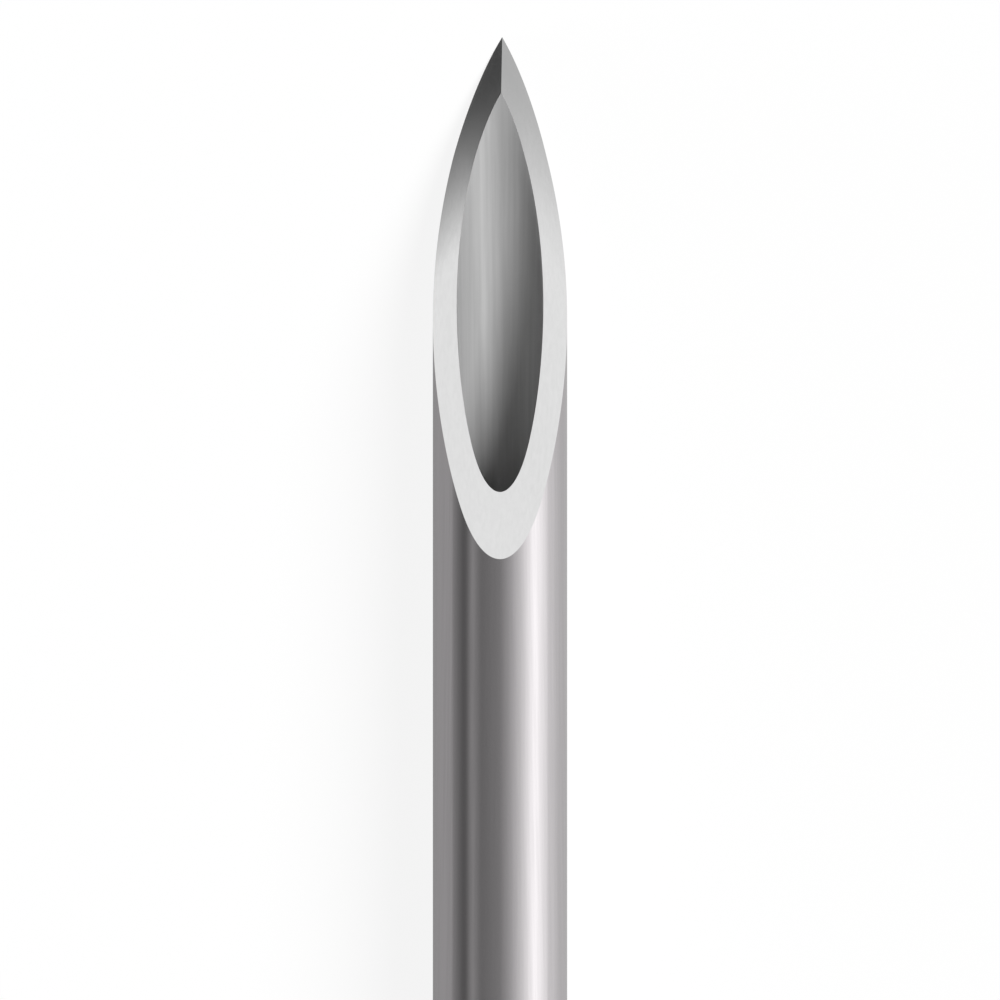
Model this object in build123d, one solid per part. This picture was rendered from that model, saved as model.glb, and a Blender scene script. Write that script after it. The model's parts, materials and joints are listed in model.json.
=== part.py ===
from build123d import *
from math import atan2, cos, degrees, radians, sin, tan
import os

# Spinal needle, 18 gauge: a steel tube with a ground lancet point, bonded in a clear plastic hub,
# and a stylet that slides in its bore.
# Millimetres. While it is drawn, +X runs along the tube to the tip, +Z is the side that the ground
# face opens to, and the origin is on the axis where the tube leaves the nose of the hub.
# At the end the whole needle is tipped nose down, as it lies on a table.

# Tube
TUBE_D = 1.27
BORE_D = 0.81
EXPOSED_LENGTH = 90.0
SEAT_DEPTH = 9.0

# Ground point: a hollow-ground main face, then two lancet facets that meet in a ridge at the tip
FACE_LENGTH = 4.945
FACE_HEEL_ANGLE = 21.4
WHEEL_RADIUS = 13.85
WHEEL_RIM_RADIUS = 1.27
RIDGE_ANGLE = 23.2
FACET_SLOPE = 35.2

# Hub: nose, finger grip, collar
NOSE_LENGTH = 8.0
NOSE_FRONT_D = 3.2
NOSE_ROOT_D = 4.6
GRIP_LENGTH = 11.0
GRIP_WIDTH = 6.4
GRIP_HEIGHT = 7.2
GRIP_CORNER = 1.2
GRIP_SHOULDER = 0.9
GRIP_REAR_EDGE = 0.4
COLLAR_LENGTH = 4.5
COLLAR_D = 6.4
NOSE_EDGE = 0.35

# Finger hollows and ribs on both sides of the grip
HOLLOW_RADIUS = 16.0
HOLLOW_DEPTH = 0.6
RIB_COUNT = 5
RIB_PITCH = 1.3
RIB_RADIUS = 0.3

# Locking lugs at the mouth
LUG_SPAN = 7.8
LUG_LENGTH = 1.1
LUG_WIDTH = 3.4

# Passage through the hub: 6 % tapered socket, funnel, throat, tube seat, adhesive well
SOCKET_MOUTH_D = 4.29
SOCKET_TAPER = 0.06
SOCKET_DEPTH = 9.0
THROAT_D = 0.95
THROAT_LENGTH = 0.8
SEAT_CLEARANCE = 0.015
WELL_MOUTH_D = 2.4
WELL_FLOOR_D = 2.0
WELL_DEPTH = 1.6
BOND_CLEARANCE = 0.01
BOND_RISE = 0.25

# Key slot in the rim of the hub
KEY_SLOT_WIDTH = 1.5
KEY_SLOT_DEPTH = 1.9
KEY_SLOT_FLOOR = 2.6

# Stylet
WIRE_D = 0.70
WIRE_RECESS = 0.03
DRAWN_BACK = 20.0
WIRE_GRIPPED = 8.0
MOULD_GAP = 0.01
PLUG_LENGTH = 6.0
PLUG_CLEARANCE = 0.08
PLUG_EDGE = 0.3
HOME_GAP = 0.1
FLANGE_D = 7.0
FLANGE_LENGTH = 1.2
FLANGE_EDGE = 0.25
CAP_LENGTH = 9.0
CAP_WIDTH = 4.4
CAP_HEIGHT = 6.2
CAP_CORNER = 1.0
CAP_END_EDGE = 0.6
CAP_HOLLOW_DEPTH = 0.5
CAP_RIB_COUNT = 4
KEY_CLEARANCE = 0.12
KEY_HEIGHT = 0.85

# Places that follow from the sizes
TUBE_R = TUBE_D / 2
BORE_R = BORE_D / 2
TIP_X = EXPOSED_LENGTH
HEEL_X = TIP_X - FACE_LENGTH
GRIP_FRONT_X = -NOSE_LENGTH
GRIP_REAR_X = GRIP_FRONT_X - GRIP_LENGTH
MOUTH_X = GRIP_REAR_X - COLLAR_LENGTH
SOCKET_FLOOR_X = MOUTH_X + SOCKET_DEPTH
SOCKET_FLOOR_D = SOCKET_MOUTH_D - SOCKET_TAPER * SOCKET_DEPTH
FLANGE_FRONT_X = MOUTH_X - HOME_GAP
CAP_FRONT_X = FLANGE_FRONT_X - FLANGE_LENGTH
FOOT_FRONT_X = GRIP_FRONT_X - GRIP_SHOULDER


def turned(points):
    """A solid of revolution about the X axis from (x, radius) points, closed along the axis."""
    ends = [(points[-1][0], 0), (points[0][0], 0)]
    outline = make_face(Polyline(*points, *ends, points[0]))
    return revolve(outline, Axis.X)


def along_x(section, x_from, x_to):
    """A section drawn with its own x across (+Y) and its own y up (+Z), extruded from x_from to x_to."""
    plane = Plane(origin=(x_from, 0, 0), x_dir=(0, 1, 0), z_dir=(1, 0, 0))
    return extrude(plane * section, x_to - x_from)


def ends_at(solid, x):
    """The edges of a solid that lie in the plane across the axis at x."""
    return solid.edges().filter_by(lambda e: abs(e.bounding_box().min.X - x) < 1e-4 and
                                   abs(e.bounding_box().max.X - x) < 1e-4)


# The grind of the point


def face_wheel():
    """The rounded rim of the wheel that grinds the main face.

    Its middle line touches the top of the tube at the heel of the face, at the heel's angle,
    and its rim is round, so the face is dished along the needle and across it.
    """
    lean = radians(FACE_HEEL_ANGLE)
    centre_x = HEEL_X + WHEEL_RADIUS * sin(lean)
    centre_z = TUBE_R + WHEEL_RADIUS * cos(lean)
    rim = Torus(WHEEL_RADIUS - WHEEL_RIM_RADIUS, WHEEL_RIM_RADIUS)
    return Pos(centre_x, 0, centre_z) * Rot(90, 0, 0) * rim


def lancet_side(side):
    """All that one lancet facet takes away, as a block on the facet's plane through the tip."""
    normal = Vector(tan(radians(RIDGE_ANGLE)), side * tan(radians(FACET_SLOPE)), 1)
    facet = Plane(origin=(TIP_X, 0, -TUBE_R), z_dir=normal)
    reach = 4 * FACE_LENGTH
    return facet * Box(reach, reach, reach, align=(Align.CENTER, Align.CENTER, Align.MIN))


def ground(rod):
    """A rod or tube with the point ground on it."""
    return rod - face_wheel() - lancet_side(1) - lancet_side(-1)


# The pieces


def cannula():
    tube = along_x(Circle(TUBE_R) - Circle(BORE_R), -SEAT_DEPTH, TIP_X)
    return ground(tube)


def hub_passage():
    """The way through the hub, from the socket's mouth to the adhesive well in the nose."""
    seat_r = TUBE_R + SEAT_CLEARANCE
    return turned([
        (MOUTH_X, SOCKET_MOUTH_D / 2),
        (SOCKET_FLOOR_X, SOCKET_FLOOR_D / 2),
        (-SEAT_DEPTH - THROAT_LENGTH, THROAT_D / 2),
        (-SEAT_DEPTH, THROAT_D / 2),
        (-SEAT_DEPTH, seat_r),
        (-WELL_DEPTH, seat_r),
        (-WELL_DEPTH, WELL_FLOOR_D / 2),
        (0, WELL_MOUTH_D / 2),
    ])


def finger_hollows(length, x_middle, width, depth, count):
    """The two shallow side hollows of a grip, as cutters, and the ribs that stand in them."""
    cutters = []
    ribs = []
    for side in (1, -1):
        floor_y = width / 2 - depth
        hollow = Cylinder(HOLLOW_RADIUS, GRIP_HEIGHT * 2)
        cutters.append(Pos(x_middle, side * (floor_y + HOLLOW_RADIUS), 0) * hollow)
        for i in range(count):
            from_middle = (i - (count - 1) / 2) * RIB_PITCH
            rise = HOLLOW_RADIUS - (HOLLOW_RADIUS ** 2 - from_middle ** 2) ** 0.5
            rib = Cylinder(RIB_RADIUS, length)
            ribs.append(Pos(x_middle + from_middle, side * (floor_y + rise), 0) * rib)
    return cutters, ribs


def needle_hub():
    nose = turned([(0, NOSE_FRONT_D / 2), (GRIP_FRONT_X, NOSE_ROOT_D / 2)])
    nose = fillet(ends_at(nose, 0), NOSE_EDGE)
    section = RectangleRounded(GRIP_WIDTH, GRIP_HEIGHT, GRIP_CORNER)
    grip = along_x(section, GRIP_REAR_X, GRIP_FRONT_X)
    grip = chamfer(ends_at(grip, GRIP_FRONT_X), GRIP_SHOULDER)
    grip = chamfer(ends_at(grip, GRIP_REAR_X), GRIP_REAR_EDGE)
    rib_height = GRIP_HEIGHT - 2 * GRIP_CORNER
    middle = (GRIP_FRONT_X - GRIP_SHOULDER + GRIP_REAR_X) / 2
    cutters, ribs = finger_hollows(rib_height, middle, GRIP_WIDTH, HOLLOW_DEPTH, RIB_COUNT)
    grip = grip - cutters
    collar = along_x(Circle(COLLAR_D / 2), MOUTH_X, GRIP_REAR_X)
    lugs = along_x(Circle(LUG_SPAN / 2) & Rectangle(LUG_SPAN, LUG_WIDTH), MOUTH_X, MOUTH_X + LUG_LENGTH)
    slot = Pos(MOUTH_X, 0, KEY_SLOT_FLOOR) * Box(
        2 * KEY_SLOT_DEPTH, KEY_SLOT_WIDTH, LUG_SPAN, align=(Align.CENTER, Align.CENTER, Align.MIN))
    return nose + grip + ribs + collar + lugs - slot - hub_passage()


def bond_ring():
    """The cured adhesive in the well, drawn up a little along the tube."""
    ring = turned([
        (-WELL_DEPTH + BOND_CLEARANCE, WELL_FLOOR_D / 2 - BOND_CLEARANCE),
        (0, WELL_MOUTH_D / 2 - BOND_CLEARANCE),
        (BOND_RISE, TUBE_R + 2 * BOND_CLEARANCE),
    ])
    return ring - along_x(Circle(TUBE_R + BOND_CLEARANCE), -SEAT_DEPTH, EXPOSED_LENGTH)


def stylet_wire():
    """The wire at home, its end ground with the tube, a hair behind the tube's face."""
    rear = CAP_FRONT_X - WIRE_GRIPPED
    wire = ground(along_x(Circle(WIRE_D / 2), rear, TIP_X))
    return Pos(-WIRE_RECESS, 0, 0) * wire


def stylet_cap():
    """The cap at home: plug in the socket, flange at the rim, key in the slot, grip behind."""
    plug_front = MOUTH_X + PLUG_LENGTH
    front_d = SOCKET_MOUTH_D - SOCKET_TAPER * PLUG_LENGTH
    plug = turned([
        (plug_front, front_d / 2 - PLUG_CLEARANCE),
        (FLANGE_FRONT_X, SOCKET_MOUTH_D / 2 - PLUG_CLEARANCE),
    ])
    plug = chamfer(ends_at(plug, plug_front), PLUG_EDGE)
    flange = along_x(Circle(FLANGE_D / 2), CAP_FRONT_X, FLANGE_FRONT_X)
    flange = chamfer(flange.edges().filter_by(GeomType.CIRCLE), FLANGE_EDGE)
    cap_rear = CAP_FRONT_X - CAP_LENGTH
    grip = along_x(RectangleRounded(CAP_WIDTH, CAP_HEIGHT, CAP_CORNER), cap_rear, CAP_FRONT_X)
    grip = chamfer(ends_at(grip, cap_rear), CAP_END_EDGE)
    rib_height = CAP_HEIGHT - 2 * CAP_CORNER
    middle = (CAP_FRONT_X + cap_rear) / 2
    cutters, ribs = finger_hollows(rib_height, middle, CAP_WIDTH, CAP_HOLLOW_DEPTH, CAP_RIB_COUNT)
    key_length = KEY_SLOT_DEPTH - KEY_CLEARANCE + HOME_GAP
    key = Pos(FLANGE_FRONT_X, 0, KEY_SLOT_FLOOR + KEY_CLEARANCE) * Box(
        key_length, KEY_SLOT_WIDTH - 2 * KEY_CLEARANCE, KEY_HEIGHT,
        align=(Align.MIN, Align.CENTER, Align.MIN))
    grip = grip - cutters
    hole = along_x(Circle(WIRE_D / 2 + MOULD_GAP), CAP_FRONT_X - WIRE_GRIPPED - MOULD_GAP, TIP_X)
    return plug + flange + grip + ribs + key - hole


# The pose: the needle lies on the front of its grip's lower flat and on its tip

LIE_ANGLE = degrees(atan2(GRIP_HEIGHT / 2 - TUBE_R, TIP_X - FOOT_FRONT_X))

drawn_back = Pos(-DRAWN_BACK, 0, 0)
pieces = {
    "cannula": cannula(),
    "needle_hub": needle_hub(),
    "bond_ring": bond_ring(),
    "stylet_wire": drawn_back * stylet_wire(),
    "stylet_cap": drawn_back * stylet_cap(),
}

os.makedirs("parts", exist_ok=True)
for name, solid in pieces.items():
    export_step(Rot(0, LIE_ANGLE, 0) * solid, f"parts/{name}.step")

print("lies", round(LIE_ANGLE, 4), "degrees nose down; mouth of the hub at", MOUTH_X)
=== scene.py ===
# %% [markdown]
# # A spinal needle
#
# A spinal needle is a thin steel tube with a ground point, held in a clear plastic hub, with a
# solid wire called a stylet that slides in its bore. The photograph looks square on to the ground
# point, so that is where most of the work goes. The CAD model is loaded first as a fixed frame,
# and its pieces stay where they are. A new finish alone would be the quickest way to dress them,
# and the small ring of adhesive gets just that. The other four show edges and curves close to the
# eye, so each of them gets a finer mesh of the same shape in the same place.

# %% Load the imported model
import json
from math import cos, pi, radians, sin, tan

import bmesh
import bpy
import numpy as np
from mathutils import Matrix, Vector


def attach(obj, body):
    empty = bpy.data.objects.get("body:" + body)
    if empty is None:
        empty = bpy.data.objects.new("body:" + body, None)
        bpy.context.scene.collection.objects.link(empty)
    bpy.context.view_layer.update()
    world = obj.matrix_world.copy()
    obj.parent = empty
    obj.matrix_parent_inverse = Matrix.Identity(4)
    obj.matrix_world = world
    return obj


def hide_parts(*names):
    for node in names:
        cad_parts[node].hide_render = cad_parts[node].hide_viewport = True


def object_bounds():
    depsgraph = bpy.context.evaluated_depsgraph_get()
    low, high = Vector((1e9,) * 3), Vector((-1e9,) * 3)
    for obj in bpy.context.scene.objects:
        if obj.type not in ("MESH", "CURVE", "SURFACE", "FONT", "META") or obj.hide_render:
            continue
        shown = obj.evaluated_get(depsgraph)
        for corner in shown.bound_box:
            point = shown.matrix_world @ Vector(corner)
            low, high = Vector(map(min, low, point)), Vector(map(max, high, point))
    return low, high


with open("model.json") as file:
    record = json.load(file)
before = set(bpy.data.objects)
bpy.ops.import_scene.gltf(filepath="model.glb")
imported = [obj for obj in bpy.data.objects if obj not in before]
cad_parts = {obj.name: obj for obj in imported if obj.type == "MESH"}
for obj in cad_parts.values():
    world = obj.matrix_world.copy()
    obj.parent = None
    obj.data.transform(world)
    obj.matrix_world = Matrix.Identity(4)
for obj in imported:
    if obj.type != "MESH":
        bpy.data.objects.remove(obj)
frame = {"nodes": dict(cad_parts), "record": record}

cad_box = [list(corner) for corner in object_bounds()]
print("nodes:", sorted(frame["nodes"]), "box in metres:", cad_box)

# %% [markdown]
# The needle lies with its tip on the table and its hub's foot behind it, so its axis slopes a
# little. The record's mount `shaft` says where the tube leaves the hub and which way it points.
# From it comes one matrix that turns the maker's own millimetres, with x along the needle and z
# on the side that the ground face opens to, into the frame's metres. Each piece could be tilted
# by an angle instead, but one matrix keeps all of them on the same axis as the CAD.

# %% The needle's own axes
MM = 0.001

shaft = next(m for m in frame["record"]["mounts"] if m["name"] == "shaft")
along = Vector(shaft["axis"]).normalized()
across = Vector((0, 1, 0))
out_of_face = along.cross(across)
own_axes = Matrix((along, across, out_of_face)).transposed().to_4x4()
needle_to_world = Matrix.Translation(shaft["pos_m"]) @ own_axes @ Matrix.Scale(MM, 4)
LIE = along.angle(Vector((1, 0, 0)))
print("needle slopes", round(LIE * 180 / pi, 3), "degrees")


def place(points):
    """Points in the needle's millimetres, as points of the frame in metres."""
    points = np.asarray(points, float)
    matrix = np.array(needle_to_world)
    return points @ matrix[:3, :3].T + matrix[:3, 3]


# %% [markdown]
# ## The ground point
#
# A needle point is ground in two steps. A wheel with a rounded rim cuts the long main face, which
# is therefore slightly hollow, and two lancet cuts then meet in a ridge that runs into the tip.
# The needle is rocked under the wheel between them, so one cut turns gradually into the other.
# Cutting a mesh with such a surface would leave ragged edges, so the face is worked out as a
# height over the tube's own section: for each spot of it, how far along does the steel reach?
# No two lancet cuts are quite alike, so the last millimetre leans to one side by a hair.

# %% Sizes of the steel, in millimetres
TUBE_R = shaft["dims"]["r_mm"]
HEEL_X = shaft["dims"]["length_mm"]     # where the ground face starts
BORE_R = 0.41
SEAT_DEPTH = 9.0                        # how far the tube's rear end sits in the hub
FACE_LENGTH = 4.945
TIP_X = HEEL_X + FACE_LENGTH
HEEL_ANGLE = radians(21.6)              # slope of the main face at its heel
WHEEL_R = 9.507
WHEEL_RIM_R = 1.277                     # the rounding of the wheel's rim
RIDGE_ANGLE = radians(23.91)            # slope of the ridge where the lancet cuts meet
FACET_SLOPE = radians(36.3)             # slope of each lancet cut to its side
ROCKING = 0.567                         # height over which one cut turns into the other
TIP_LEAN = 0.021                # how far the tip itself leans to the side
LEAN_LENGTH = 1.13              # over this length the lean fades out

wheel_x = HEEL_X + WHEEL_R * sin(HEEL_ANGLE)
wheel_z = TUBE_R + WHEEL_R * cos(HEEL_ANGLE)
print("tip at", round(TIP_X, 3), "mm, wheel centre at", round(wheel_x, 3), round(wheel_z, 3))


# %% Height of the ground surface
def face_height(x, y):
    """Height above the axis of the ground surface, at x along the needle and y across it."""
    rim = WHEEL_R - WHEEL_RIM_R + np.sqrt(WHEEL_RIM_R ** 2 - y ** 2)
    hollow = wheel_z - np.sqrt(np.clip(rim ** 2 - (x - wheel_x) ** 2, 0, None))
    lancet = -TUBE_R + tan(RIDGE_ANGLE) * (TIP_X - x) - tan(FACET_SLOPE) * np.abs(y)
    near = np.clip(ROCKING - np.abs(hollow - lancet), 0, None)
    return np.minimum(hollow, lancet) - near ** 2 / (4 * ROCKING)


for x in (HEEL_X, (HEEL_X + TIP_X) / 2, TIP_X):
    print("at", round(x, 3), "mm the ground surface is", round(float(face_height(x, 0.0)), 3), "mm high")


# %% How far the steel reaches
SEARCH_MARGIN = 0.5
HALVINGS = 40


def steel_ends_at(y, z):
    """How far along the needle the steel reaches at the spot (y, z) of its section."""
    low = np.full(np.shape(y), HEEL_X - SEARCH_MARGIN)
    high = np.full(np.shape(y), TIP_X + SEARCH_MARGIN)
    for _ in range(HALVINGS):
        middle = (low + high) / 2
        steel = face_height(middle, y) > z
        low = np.where(steel, middle, low)
        high = np.where(steel, high, middle)
    return (low + high) / 2


for place_name, z in (("heel", TUBE_R), ("tip", -TUBE_R)):
    reach = float(steel_ends_at(np.array(0.0), np.array(z)))
    print("steel ends at the", place_name, "at", round(reach, 3), "mm")

# %% [markdown]
# ## Meshes from rings
#
# Both steel pieces are rings of points joined into bands: along the outside, over the ground face
# and, for the tube, back through the bore. A cylinder with its point cut off by a boolean would
# be quicker to write, but its cut edge is ragged and shades badly. Rings put an edge exactly where
# the two surfaces meet. Every ring has the same number of points, so one helper can join
# them. It also marks the sharp edges, and gives each band its own finish.

# %% Rings of points
SIDES = 512


def circle(radius, x):
    """A ring of points at this radius; x is one number or one for each point."""
    turn = 2 * pi * np.arange(SIDES) / SIDES
    y = radius * np.sin(turn)
    z = radius * np.cos(turn)
    return np.stack([np.broadcast_to(x, y.shape), y, z], axis=1)


def ground_ring(radius, back=0.0):
    """A ring of points on the ground face, drawn back along the needle by so many millimetres."""
    ring = circle(radius, 0.0)
    ring[:, 0] = steel_ends_at(ring[:, 1], ring[:, 2])
    ring[:, 1] -= TIP_LEAN * np.clip(1 - (TIP_X - ring[:, 0]) / LEAN_LENGTH, 0, 1)
    ring[:, 0] -= back
    return ring


face_edge = ground_ring(TUBE_R)
print("the face is", round(float(np.ptp(face_edge[:, 0])), 3), "mm long, in", SIDES, "points a ring")


# %% Join rings into a mesh
def bands_to_mesh(name, rings, finishes, sharp_after, materials, closed):
    """A mesh of bands between rings. finishes gives each band's material, sharp_after the rings
    whose edge is sharp, and closed says that the last ring joins the first, as on a tube."""
    count = len(rings)
    here = np.arange(SIDES)
    following = (here + 1) % SIDES
    faces = []
    faces_finish = []
    for i in range(count if closed else count - 1):
        a = i * SIDES
        b = ((i + 1) % count) * SIDES
        faces += np.stack([a + here, a + following, b + following, b + here], axis=1).tolist()
        faces_finish += [finishes[i]] * SIDES
    if not closed:
        for i, finish in ((0, finishes[0]), (count - 1, finishes[-1])):
            ring = (i * SIDES + here).tolist()
            faces.append(ring if i else ring[::-1])
            faces_finish.append(finish)
    mesh = bpy.data.meshes.new(name)
    mesh.from_pydata(place(np.concatenate(rings)).tolist(), [], faces)
    for material in materials:
        mesh.materials.append(material)
    mesh.polygons.foreach_set("material_index", faces_finish)
    mesh.shade_smooth()
    ridge_point = SIDES // 2
    for edge in mesh.edges:
        ring_a, point_a = divmod(edge.vertices[0], SIDES)
        ring_b, point_b = divmod(edge.vertices[1], SIDES)
        around = ring_a == ring_b and ring_a in sharp_after
        ridge = point_a == point_b == ridge_point
        edge.use_edge_sharp = around or ridge
    mesh.validate()
    mesh.update()
    piece = bpy.data.objects.new(name, mesh)
    bpy.context.collection.objects.link(piece)
    print(name, "has", len(mesh.polygons), "faces")
    return piece


# %% [markdown]
# ## Helpers for finishes
#
# Colours are written as they look on a screen, in sRGB hex, and turned to linear light once.
# Nodes could be added one by one with many lines each. Here one small function adds a node, sets
# its inputs and links what it is given, so that a finish can be read as a list of what it does.

# %% Colour helpers
def linear(hex_colour):
    """A linear RGBA colour from an sRGB hex string, by the curve of the sRGB standard."""
    parts = [int(hex_colour[i:i + 2], 16) / 255 for i in (1, 3, 5)]
    return [c / 12.92 if c <= 0.04045 else ((c + 0.055) / 1.055) ** 2.4 for c in parts] + [1.0]


def darker(hex_colour, share):
    """The same linear colour with this share of its light taken away."""
    return [(1 - share) * c for c in linear(hex_colour)[:3]] + [1.0]


def grey(level):
    """A linear grey RGBA colour."""
    return [level, level, level, 1.0]


print("middle grey on a screen is", round(linear("#808080")[0], 3), "in linear light")


# %% Node helpers
def add_node(tree, kind, inputs=(), **settings):
    """A new node. Settings are its own properties; each (socket, value) of inputs is set, or
    linked if the value is another node's output."""
    node = tree.nodes.new(kind)
    for key, value in settings.items():
        setattr(node, key, value)
    for socket, value in inputs:
        if isinstance(value, bpy.types.NodeSocket):
            tree.links.new(value, node.inputs[socket])
        else:
            node.inputs[socket].default_value = value
    return node


def new_material(name):
    """An empty material, with its node tree and output."""
    material = bpy.data.materials.new(name)
    material.use_nodes = True
    tree = material.node_tree
    tree.nodes.clear()
    return material, tree, tree.nodes.new("ShaderNodeOutputMaterial")


# %% [markdown]
# ## Stainless steel
#
# Needle tube is stainless steel of the common 304 kind, drawn to size, and its outside is polished.
# The light grey has a faint warm cast. The outside shows crisp bands of light, so it is smooth, with
# faint polishing marks along its length. The ground face is finer than the eye sees but still
# matt, so it shows one even tone. The bore is as drawn: blurred, and streaked by the die. Its darker
# grey is partly the duller drawn skin and partly painted shade for the inside of so narrow a bore. It
# is given only part of its metal shine, because a path that bounces many times in so narrow a bore
# would make it brighter than the real one. A plain mirror shader would look like chrome plate,
# so noise drawn out along the needle varies the roughness, the tone and the relief, as the real
# marks do. All of it is the same metal, so one function makes every finish, and only its tone,
# its shine and the marks differ, the bore's tone being partly painted shade. The marks of the wheel
# are about 0.01 mm apart on a real point, too fine for this picture, so they are drawn at 0.03 mm.

# %% The marks on steel
NOISE_RANGE = (0.3, 0.7)        # nearly all of a noise lies between these
MARK_RANGE = (0.35, 0.65)       # a narrower range sets the marks off more clearly
MARK_DETAIL = 3.0
MARK_FINE_SHARE = 0.6           # how strong each finer step of the noise is


def streaks(tree, long_mm, wide_mm):
    """Noise drawn out along the needle: scratches so long and so wide."""
    where = add_node(tree, "ShaderNodeTexCoord")
    turned = add_node(tree, "ShaderNodeMapping", [
        ("Vector", where.outputs["Object"]),
        ("Rotation", (0.0, -LIE, 0.0)),
        ("Scale", (1 / (long_mm * MM), 1 / (wide_mm * MM), 1 / (wide_mm * MM)))])
    return add_node(tree, "ShaderNodeTexNoise", [
        ("Vector", turned.outputs["Vector"]), ("Scale", 1.0), ("Detail", MARK_DETAIL),
        ("Roughness", MARK_FINE_SHARE)])


# %% Steel finishes
def stainless(name, colour, metallic, roughness, spread, mark_long, mark_wide, mark_height, mark_tone,
              specular=0.5):
    """Stainless steel whose marks run along the needle, so long, wide and high in millimetres, and
    darker than the rest by mark_tone. specular is the shine of the part that isn't metallic."""
    material, tree, output = new_material(name)
    marks = streaks(tree, mark_long, mark_wide)
    rough = add_node(tree, "ShaderNodeMapRange", [
        ("Value", marks.outputs["Fac"]), ("From Min", NOISE_RANGE[0]), ("From Max", NOISE_RANGE[1]),
        ("To Min", roughness - spread), ("To Max", roughness + spread)])
    relief = add_node(tree, "ShaderNodeBump", [
        ("Height", marks.outputs["Fac"]), ("Strength", 1.0), ("Distance", mark_height * MM)])
    depth = add_node(tree, "ShaderNodeMapRange", [
        ("Value", marks.outputs["Fac"]), ("From Min", MARK_RANGE[0]), ("From Max", MARK_RANGE[1])])
    tone = add_node(tree, "ShaderNodeMix", [
        (0, depth.outputs["Result"]), (6, linear(colour)), (7, darker(colour, mark_tone))],
        data_type="RGBA")
    steel = add_node(tree, "ShaderNodeBsdfPrincipled", [
        ("Base Color", tone.outputs[2]), ("Metallic", metallic), ("Specular IOR Level", specular),
        ("Roughness", rough.outputs["Result"]), ("Normal", relief.outputs["Normal"])])
    tree.links.new(steel.outputs[0], output.inputs[0])
    return material


polished = stainless("polished_stainless_tube", "#E6E2E4", metallic=1.0, roughness=0.16, spread=0.03,
                     mark_long=4.0, mark_wide=0.03, mark_height=0.00004, mark_tone=0.05)
ground = stainless("ground_stainless_face", "#E1E1E1", metallic=1.0, roughness=0.16, spread=0.02,
                   mark_long=0.8, mark_wide=0.03, mark_height=0.00003, mark_tone=0.03)
# Painted shade: the bore's grey is darker than the other steel partly for the shade inside the narrow
# bore, partly for its duller drawn skin.
drawn = stainless("drawn_stainless_bore_painted_shade", "#B7B7B7", metallic=0.18, roughness=0.38, spread=0.04,
                  mark_long=4.0, mark_wide=0.05, mark_height=0.00005, mark_tone=0.1, specular=0.1)
wire_steel = stainless("drawn_stainless_wire", "#DAD7D8", metallic=1.0, roughness=0.2, spread=0.04,
                       mark_long=5.0, mark_wide=0.04, mark_height=0.0001, mark_tone=0.08)
print("steel finishes:", [m.name for m in (polished, ground, drawn, wire_steel)])

# %% [markdown]
# ## The tube
#
# The tube's rings run from its seat in the hub along the outside to the point, over the face from
# the outer edge to the bore, and back through the bore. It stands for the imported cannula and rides
# on the same body. The rocking wheel grinds so thin a wall nearly straight across, from its outer
# edge to the bore, and so keeps one tone across it. The rings of the face are therefore drawn
# part of the way, by a hundredth of a millimetre, towards straight lines between its two edges.

# %% The rings of the ground face
WALL_STEPS = 14
WALL_STRAIGHT = 0.6

outer_ring = ground_ring(TUBE_R)
inner_ring = ground_ring(BORE_R)
face = []
for step in range(WALL_STEPS + 1):
    share = step / WALL_STEPS
    curved = ground_ring(TUBE_R + (BORE_R - TUBE_R) * share)
    straight = (1 - share) * outer_ring + share * inner_ring
    face.append((1 - WALL_STRAIGHT) * curved + WALL_STRAIGHT * straight)
print("the face is ground over", len(face), "rings")

# %% Build the tube
LAST_ROUND_X = HEEL_X - 0.6     # the last plain ring, just short of the ground face
TUBE_STOPS = (-SEAT_DEPTH, 0.0, 20.0, 40.0, 60.0, 75.0, LAST_ROUND_X)

outside = [circle(TUBE_R, x) for x in TUBE_STOPS]
bore = [circle(BORE_R, x) for x in reversed(TUBE_STOPS)]
tube_rings = outside + face + bore
tube_finishes = [0] * len(outside) + [1] * WALL_STEPS + [2] * len(bore) + [0]
outer_edge = len(outside)
inner_edge = outer_edge + WALL_STEPS
tube = bands_to_mesh("ground_tube", tube_rings, tube_finishes,
                     {0, outer_edge, inner_edge, len(tube_rings) - 1},
                     [polished, ground, drawn], closed=True)
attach(tube, "needle")
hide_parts("cannula")

# %% [markdown]
# ## The stylet's wire
#
# The wire fills the bore when it is home, and its end is ground together with the tube. A plain
# rod would do while it is drawn back, but at home its end shows in the face. So the same ground
# surface is used, set back a hair and then drawn back with the stylet.

# %% Build the wire
WIRE_R = 0.35
DRAWN_BACK = 20.0               # how far the stylet is drawn back at rest
SET_BACK = 0.03                 # how far its end lies behind the tube's face at home
WIRE_STOPS = (-32.8, -10.0, 30.0, 60.0, LAST_ROUND_X)
END_STEPS = 10

wire_back = DRAWN_BACK + SET_BACK
wire_rings = [circle(WIRE_R, x - wire_back) for x in WIRE_STOPS]
wire_wall = len(wire_rings)
wire_rings += [ground_ring(WIRE_R * (1 - step / END_STEPS), wire_back) for step in range(END_STEPS)]
wire_finishes = [0] * wire_wall + [1] * END_STEPS
wire = bands_to_mesh("ground_wire", wire_rings, wire_finishes, {0, wire_wall},
                     [wire_steel, ground], closed=False)
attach(wire, "stylet")
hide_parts("stylet_wire")

# %% [markdown]
# ## Clear plastics
#
# The hub is moulded in clear polycarbonate, so that the fluid can be seen in it. Polished moulds
# give it a smooth skin with a trace of flow. The adhesive in the nose is an epoxy that cures to a
# clear, faintly yellow drop. Plain transparency would be quicker to render, but it doesn't bend
# what is seen through it, so both are transmissive with their own index of refraction.

# %% Clear finishes
SMOOTHEST = 0.7                 # shares of a finish's own roughness
ROUGHEST = 1.4


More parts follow.
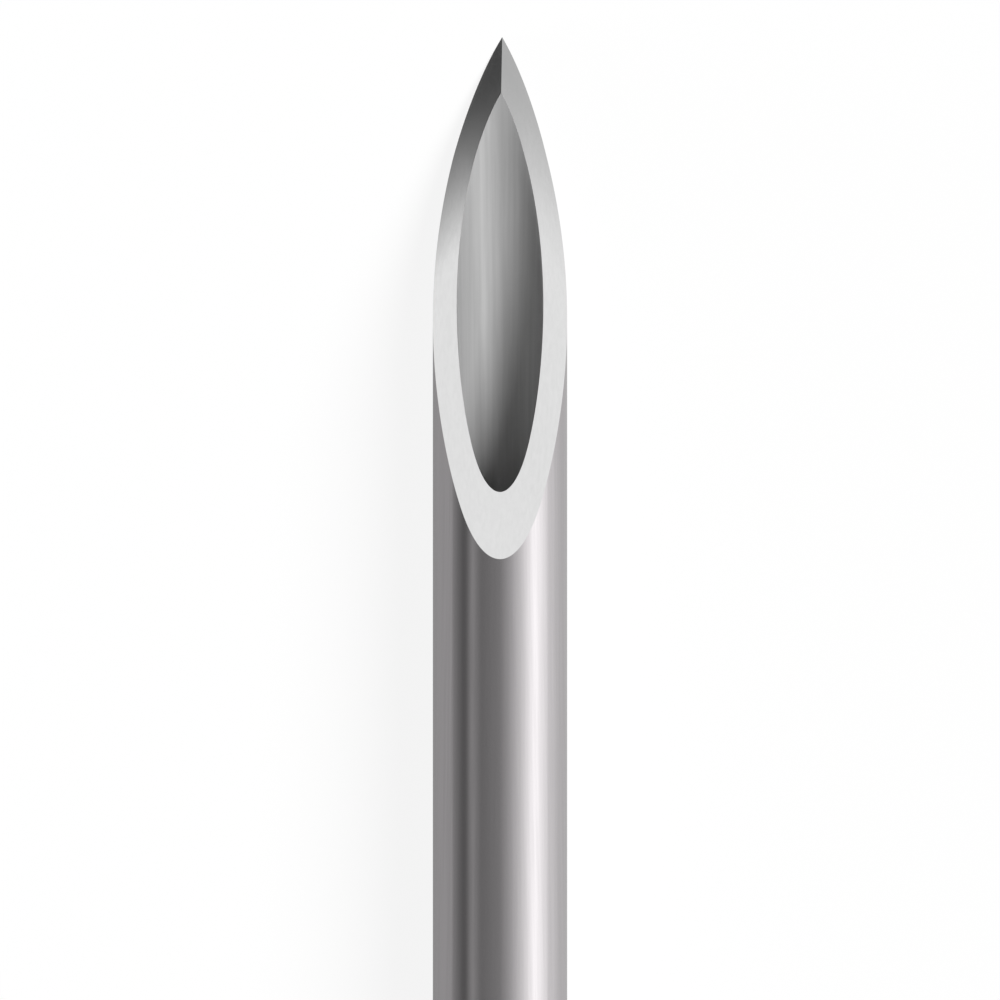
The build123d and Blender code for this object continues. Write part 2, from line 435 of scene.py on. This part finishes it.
def clear_plastic(name, colour, ior, roughness, grain_mm, grain_height):
    """A clear moulded plastic with a shallow unevenness of this size and height in millimetres."""
    material, tree, output = new_material(name)
    where = add_node(tree, "ShaderNodeTexCoord")
    flow = add_node(tree, "ShaderNodeTexNoise", [
        ("Vector", where.outputs["Object"]), ("Scale", 1 / (grain_mm * MM)), ("Detail", 2.0)])
    rough = add_node(tree, "ShaderNodeMapRange", [
        ("Value", flow.outputs["Fac"]), ("From Min", NOISE_RANGE[0]), ("From Max", NOISE_RANGE[1]),
        ("To Min", roughness * SMOOTHEST), ("To Max", roughness * ROUGHEST)])
    relief = add_node(tree, "ShaderNodeBump", [
        ("Height", flow.outputs["Fac"]), ("Strength", 1.0), ("Distance", grain_height * MM)])
    plastic = add_node(tree, "ShaderNodeBsdfPrincipled", [
        ("Base Color", linear(colour)), ("Transmission Weight", 1.0), ("IOR", ior),
        ("Roughness", rough.outputs["Result"]), ("Normal", relief.outputs["Normal"])])
    tree.links.new(plastic.outputs[0], output.inputs[0])
    return material


hub_finish = clear_plastic("clear_moulded_polycarbonate", "#F4F9FB", ior=1.585, roughness=0.13,
                           grain_mm=1.5, grain_height=0.002)
bond_finish = clear_plastic("cured_epoxy_adhesive", "#F3E6C4", ior=1.5, roughness=0.12,
                            grain_mm=0.4, grain_height=0.002)
bond_ring = frame["nodes"]["bond_ring"]
bond_ring.data.materials.clear()
bond_ring.data.materials.append(bond_finish)
print("clear plastics:", [m.name for m in (hub_finish, bond_finish)])

# %% [markdown]
# ## The cap's plastic
#
# The stylet's cap is polypropylene, moulded in the pink that marks this gauge, with the fine grain
# of an etched mould. It lets a little light in under its skin, which makes its edges look soft. A
# plain pink would look like paint, so the grain varies its roughness and relief, and faint clouds
# a few millimetres across vary its tone, as pigment does that has flowed into the mould.

# %% The cap's finish
POLYPROPYLENE_IOR = 1.49
CLOUD_MM = 3.0
CLOUD_TONE = 0.1
GRAIN_SPREAD = 0.06
UNDER_SKIN = 0.15
UNDER_SKIN_MM = 0.4
UNDER_SKIN_COLOURS = (1.0, 0.5, 0.6)


def grained_plastic(name, colour, roughness, grain_mm, grain_height):
    """An opaque moulded plastic with the fine grain of an etched mould."""
    material, tree, output = new_material(name)
    where = add_node(tree, "ShaderNodeTexCoord")
    grain = add_node(tree, "ShaderNodeTexNoise", [
        ("Vector", where.outputs["Object"]), ("Scale", 1 / (grain_mm * MM)), ("Detail", 4.0)])
    clouds = add_node(tree, "ShaderNodeTexNoise", [
        ("Vector", where.outputs["Object"]), ("Scale", 1 / (CLOUD_MM * MM)), ("Detail", 1.0)])
    tone = add_node(tree, "ShaderNodeMix", [
        (0, clouds.outputs["Fac"]), (6, linear(colour)), (7, darker(colour, CLOUD_TONE))],
        data_type="RGBA")
    rough = add_node(tree, "ShaderNodeMapRange", [
        ("Value", grain.outputs["Fac"]), ("From Min", NOISE_RANGE[0]), ("From Max", NOISE_RANGE[1]),
        ("To Min", roughness - GRAIN_SPREAD), ("To Max", roughness + GRAIN_SPREAD)])
    relief = add_node(tree, "ShaderNodeBump", [
        ("Height", grain.outputs["Fac"]), ("Strength", 1.0), ("Distance", grain_height * MM)])
    plastic = add_node(tree, "ShaderNodeBsdfPrincipled", [
        ("Base Color", tone.outputs[2]), ("IOR", POLYPROPYLENE_IOR),
        ("Roughness", rough.outputs["Result"]), ("Subsurface Weight", UNDER_SKIN),
        ("Subsurface Scale", UNDER_SKIN_MM * MM), ("Subsurface Radius", UNDER_SKIN_COLOURS),
        ("Normal", relief.outputs["Normal"])])
    tree.links.new(plastic.outputs[0], output.inputs[0])
    return material


cap_finish = grained_plastic("pink_moulded_polypropylene", "#E77FA6", roughness=0.38,
                             grain_mm=0.25, grain_height=0.03)
print("cap plastic:", cap_finish.name)

# %% [markdown]
# ## Moulded edges
#
# Molten plastic doesn't fill a knife-sharp corner of the mould, so every edge of a moulded piece is
# a little round, and that is where it catches the light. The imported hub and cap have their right
# shape but sharp edges. On the clear hub each edge is cut back by a fine bevel, which keeps its
# flat faces flat, as clear plastic shows every ripple. The cap is opaque and softer in
# shape: its copy is remeshed in tiny cubes and smoothed, which rounds all its edges alike.

# %% A piece in the place of a CAD node
WELD = 0.0002 * MM


def sibling(node_name, name, mesh, body):
    """Puts a mesh in the place of a CAD node, on the same body."""
    piece = bpy.data.objects.new(name, mesh)
    bpy.context.collection.objects.link(piece)
    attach(piece, body)
    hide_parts(node_name)
    print(name, "has", len(mesh.polygons), "faces")


# %% Round the hub's edges
HUB_ROUND = 0.08                # in millimetres
HUB_ROUND_STEPS = 3
FLAT_ANGLE = radians(1)         # faces this nearly in line become one
CORNER_ANGLE = radians(30)      # edges sharper than this are rounded
CREASE_ANGLE = radians(28)      # edges sharper than this still shade as edges

hub_mesh = bpy.data.meshes.new("moulded_hub")
hub_edit = bmesh.new()
hub_edit.from_mesh(frame["nodes"]["needle_hub"].data)
bmesh.ops.remove_doubles(hub_edit, verts=hub_edit.verts, dist=WELD)
bmesh.ops.dissolve_limit(hub_edit, angle_limit=FLAT_ANGLE, verts=hub_edit.verts, edges=hub_edit.edges)
corners = [e for e in hub_edit.edges if e.calc_face_angle(0) > CORNER_ANGLE]
bmesh.ops.bevel(hub_edit, geom=corners, offset=HUB_ROUND * MM, offset_type="OFFSET",
                segments=HUB_ROUND_STEPS, profile=0.5, affect="EDGES", clamp_overlap=False)
print("hub has", len(corners), "edges to round")
hub_edit.to_mesh(hub_mesh)
hub_edit.free()
hub_mesh.materials.append(hub_finish)
hub_mesh.shade_smooth()
hub_mesh.set_sharp_from_angle(angle=CREASE_ANGLE)
sibling("needle_hub", "moulded_hub", hub_mesh, "needle")

# %% Round the cap's edges
CAP_VOXEL = 0.085               # in millimetres
CAP_SMOOTHING = 12
CAP_SMOOTHING_SHARE = 0.5

cap_draft = bpy.data.objects.new("cap_draft", frame["nodes"]["stylet_cap"].data.copy())
bpy.context.collection.objects.link(cap_draft)
weld = cap_draft.modifiers.new("weld", "WELD")
weld.merge_threshold = WELD
remesh = cap_draft.modifiers.new("remesh", "REMESH")
remesh.mode = "VOXEL"
remesh.voxel_size = CAP_VOXEL * MM
soften = cap_draft.modifiers.new("soften", "SMOOTH")
soften.factor = CAP_SMOOTHING_SHARE
soften.iterations = CAP_SMOOTHING
rounded_cap = cap_draft.evaluated_get(bpy.context.evaluated_depsgraph_get())
cap_mesh = bpy.data.meshes.new_from_object(rounded_cap)
bpy.data.objects.remove(cap_draft)
cap_mesh.materials.clear()
cap_mesh.materials.append(cap_finish)
cap_mesh.shade_smooth()
sibling("stylet_cap", "moulded_cap", cap_mesh, "stylet")

# %% [markdown]
# ## The table
#
# The photograph has a plain white ground with no horizon. A white table under stronger lamps would
# give that too, but the lamps would burn out the needle. So part of the table's white is its
# own light, seen only by the camera and through clear plastic, and the rest is lit, so a shadow
# stays a soft grey. Steel sees the table at a middle grey, as the edges of the photographed shaft
# do. That grey is a painted reflection, a glow that only steel sees: painted shade on the needle's
# left and painted light on its right, as if the table were lit from the right. Matt pieces get the
# light that a pale table throws back on their sides and undersides.

# %% Lay the table
TABLE_HALF = 0.6

table_z = cad_box[0][2]
table_corners = [(-TABLE_HALF, -TABLE_HALF), (TABLE_HALF, -TABLE_HALF),
                 (TABLE_HALF, TABLE_HALF), (-TABLE_HALF, TABLE_HALF)]
table_mesh = bpy.data.meshes.new("table")
table_mesh.from_pydata([(x, y, table_z) for x, y in table_corners], [], [(0, 1, 2, 3)])
table = bpy.data.objects.new("table", table_mesh)
bpy.context.collection.objects.link(table)
print("table at", round(table_z / MM, 3), "mm")

# %% The table's finish
TABLE_GLOW = 0.88
TABLE_BOUNCE = 0.45
# Painted reflection for steel: a glow only steel sees, painted shade on the needle's left, painted light
# on its right.
TABLE_PAINTED_REFLECTION_IN_STEEL = (0.22, 0.58)
STEEL_PAINTED_SHADE_AT = 2.0            # millimetres across the needle, on its left
STEEL_PAINTED_LIGHT_AT = -5.0             # and on its right
TABLE_ALBEDO = 0.13

table_finish, tree, output = new_material("white_matt_laminate")
light_path = add_node(tree, "ShaderNodeLightPath")
seen = add_node(tree, "ShaderNodeMath", [
    (0, light_path.outputs["Is Camera Ray"]), (1, light_path.outputs["Is Transmission Ray"])],
    operation="MAXIMUM")
where = add_node(tree, "ShaderNodeTexCoord")
table_parts = add_node(tree, "ShaderNodeSeparateXYZ", [(0, where.outputs["Object"])])
# Painted shade and light: in steel the table glows darker on the needle's left than on its right.
painted_side_shade = add_node(tree, "ShaderNodeMapRange", [
    ("Value", table_parts.outputs["Y"]),
    ("From Min", STEEL_PAINTED_SHADE_AT * MM), ("From Max", STEEL_PAINTED_LIGHT_AT * MM),
    ("To Min", TABLE_PAINTED_REFLECTION_IN_STEEL[0]), ("To Max", TABLE_PAINTED_REFLECTION_IN_STEEL[1])])
painted_reflection_in_steel = add_node(tree, "ShaderNodeMath", [
    (0, light_path.outputs["Is Glossy Ray"]), (1, painted_side_shade.outputs["Result"])], operation="MULTIPLY")
bounce_and_painted_reflection = add_node(tree, "ShaderNodeMath", [
    (0, light_path.outputs["Is Diffuse Ray"]), (1, TABLE_BOUNCE), (2, painted_reflection_in_steel.outputs[0])],
    operation="MULTIPLY_ADD")
strength = add_node(tree, "ShaderNodeMath", [
    (0, seen.outputs[0]), (1, TABLE_GLOW), (2, bounce_and_painted_reflection.outputs[0])], operation="MULTIPLY_ADD")
glow = add_node(tree, "ShaderNodeEmission", [("Color", grey(1.0)), ("Strength", strength.outputs[0])])
matt = add_node(tree, "ShaderNodeBsdfDiffuse", [("Color", grey(TABLE_ALBEDO))])
both = add_node(tree, "ShaderNodeAddShader", [(0, glow.outputs[0]), (1, matt.outputs[0])])
tree.links.new(both.outputs[0], output.inputs[0])
table.data.materials.append(table_finish)
print("table finish:", table_finish.name)

# %% [markdown]
# ## Studio light
#
# The bands on a polished needle are a picture of the studio around it. A large soft light stands
# low on the right of the picture, a dark flag on the left, and the side where the camera stands
# is dim. Beyond the tip, overhead, is a broad soft light that the ground face reflects. Area lamps
# could stand there too, but steel would show them as hard-edged rectangles. So the world
# holds this studio as brightness by direction: the angle is measured around the needle, from
# straight up, towards the right of the picture. Only mirror-like reflections see it.

# %% Directions around the needle
world = bpy.data.worlds.new("studio")
bpy.context.scene.world = world
world.use_nodes = True
sky = world.node_tree
sky.nodes.clear()
direction = add_node(sky, "ShaderNodeTexCoord")
parts = add_node(sky, "ShaderNodeSeparateXYZ", [(0, direction.outputs["Generated"])])
to_the_right = add_node(sky, "ShaderNodeMath", [
    (0, parts.outputs["Y"]), (1, -1.0)], operation="MULTIPLY")
around = add_node(sky, "ShaderNodeMath", [
    (0, to_the_right.outputs[0]), (1, parts.outputs["Z"])], operation="ARCTAN2")
turn = add_node(sky, "ShaderNodeMapRange", [
    ("Value", around.outputs[0]), ("From Min", -pi), ("From Max", pi)])
print("the world has", len(sky.nodes), "nodes for its directions")

# %% Brightness of the studio by direction
AROUND_THE_SHAFT = (
    (-180, 0.40), (-140, 0.40), (-95, 0.28),     # the table and the wall on the left
    (-67, 0.10), (-61, 0.10), (-49, 0.28),       # a flag, and a slim strip of light above it
    (-33, 0.15), (0, 0.21), (19, 0.40),          # the dim side where the camera stands
    (40, 0.73), (63, 1.28), (80, 0.97),          # the large soft light on the right
    (123, 0.55), (180, 0.40))                    # the wall and the table on the right
BEYOND_THE_TIP = (
    (-180, 0.30), (-90, 0.03), (-78, 0.06),      # the table, and a flag low on the left
    (-67, 0.29), (-54, 0.63), (-39, 1.00),       # the soft edge of the light overhead
    (38, 1.00), (54, 0.91), (66, 0.75),          # the light overhead, and its other edge
    (80, 0.53), (100, 0.42), (180, 0.30))        # the wall and the table on the right
print("studio has", len(AROUND_THE_SHAFT), "and", len(BEYOND_THE_TIP), "stops")

# %% Turn the stops into ramps
TIP_SIDE_FROM = 0.22            # how far a direction leans towards the tip, from 0 to 1
TIP_SIDE_FULL = 0.42

ramps = []
for stops in (AROUND_THE_SHAFT, BEYOND_THE_TIP):
    ramp = add_node(sky, "ShaderNodeValToRGB", [("Fac", turn.outputs["Result"])])
    elements = ramp.color_ramp.elements
    elements[0].position = 0.0
    elements[0].color = grey(stops[0][1])
    elements[1].position = 1.0
    elements[1].color = grey(stops[-1][1])
    for degrees, level in stops[1:-1]:
        elements.new((degrees + 180) / 360).color = grey(level)
    ramps.append(ramp)
shaft_side, tip_side = ramps
towards_tip = add_node(sky, "ShaderNodeMapRange", [
    ("Value", parts.outputs["X"]), ("From Min", TIP_SIDE_FROM), ("From Max", TIP_SIDE_FULL)],
    interpolation_type="SMOOTHSTEP")
studio = add_node(sky, "ShaderNodeMix", [
    (0, towards_tip.outputs["Result"]), (6, shaft_side.outputs[0]), (7, tip_side.outputs[0])],
    data_type="RGBA")
print("ramps of the studio:", len(ramps), "with", [len(r.color_ramp.elements) for r in ramps], "stops")

# %% [markdown]
# Everything that is not mirror-like is lit by a plain soft sky and two suns. One stands over the
# right of the picture, so the bore is bright on its left wall and falls away into shade on its
# right one. A single sun would be simpler, but the sides away from it would stay dark, so a weak
# one comes low from the left. The camera and clear plastic see a white sky.

# %% Put the world together
SKY_LEVEL = 0.12

world_rays = add_node(sky, "ShaderNodeLightPath")
sees_white = add_node(sky, "ShaderNodeMath", [
    (0, world_rays.outputs["Is Camera Ray"]), (1, world_rays.outputs["Is Transmission Ray"])],
    operation="MAXIMUM")
plain = add_node(sky, "ShaderNodeMix", [
    (0, sees_white.outputs[0]), (6, grey(SKY_LEVEL)), (7, grey(1.0))], data_type="RGBA")
glossy_sees_studio = add_node(sky, "ShaderNodeMix", [
    (0, world_rays.outputs["Is Glossy Ray"]), (6, plain.outputs[2]), (7, studio.outputs[2])],
    data_type="RGBA")
background = add_node(sky, "ShaderNodeBackground", [
    ("Color", glossy_sees_studio.outputs[2]), ("Strength", 1.0)])
add_node(sky, "ShaderNodeOutputWorld", [(0, background.outputs[0])])
print("the whole world has", len(sky.nodes), "nodes")


# %% Hang the suns
def soft_sun(name, strength, towards, spread_degrees):
    """A soft distant lamp that shines from this direction, and isn't itself mirrored in steel."""
    lamp = bpy.data.lights.new(name, "SUN")
    lamp.energy = strength
    lamp.angle = radians(spread_degrees)
    sun = bpy.data.objects.new(name, lamp)
    sun.rotation_euler = Vector(towards).to_track_quat("Z", "Y").to_euler()
    sun.visible_glossy = False
    bpy.context.collection.objects.link(sun)
    print(name, "sun of strength", strength)


soft_sun("key", strength=3.0, towards=(-0.03, -0.60, 0.80), spread_degrees=38)
soft_sun("fill", strength=0.9, towards=(-0.45, 0.88, 0.12), spread_degrees=12)

# %% [markdown]
# ## The camera
#
# The photograph looks square on to the needle's face side, with the tip up, and the frame holds
# only the point and a stretch of shaft. An orthographic camera would keep the sides parallel
# too, but a very long lens does it and is still a real camera. The tube's width in the picture
# gives the scale, and the tip's place the height of the frame's middle.

# %% Place the camera
FRAME_PIXELS = 1000
TUBE_WIDTH_PIXELS = 134.3
TIP_ROW = 36.0
LENS_MM = 1000.0
SENSOR_MM = 36.0
NEAR_CLIP = 0.001
FAR_CLIP = 10.0

pixels_per_mm = TUBE_WIDTH_PIXELS / (2 * TUBE_R)
frame_mm = FRAME_PIXELS / pixels_per_mm
middle_x = TIP_X - (FRAME_PIXELS / 2 - TIP_ROW) / pixels_per_mm
distance_mm = frame_mm * LENS_MM / SENSOR_MM
camera_data = bpy.data.cameras.new("camera")
camera_data.lens = LENS_MM
camera_data.sensor_width = SENSOR_MM
camera_data.clip_start = NEAR_CLIP
camera_data.clip_end = FAR_CLIP
camera = bpy.data.objects.new("camera", camera_data)
bpy.context.collection.objects.link(camera)
right_of_picture = along.cross(out_of_face)
camera_axes = Matrix((right_of_picture, along, out_of_face)).transposed().to_4x4()
camera_place = needle_to_world @ Vector((middle_x, 0.0, distance_mm))
camera.matrix_world = Matrix.Translation(camera_place) @ camera_axes
bpy.context.scene.camera = camera
bpy.context.scene.view_settings.view_transform = "Standard"
print("frame is", round(frame_mm, 3), "mm, camera", round(distance_mm, 1), "mm away")
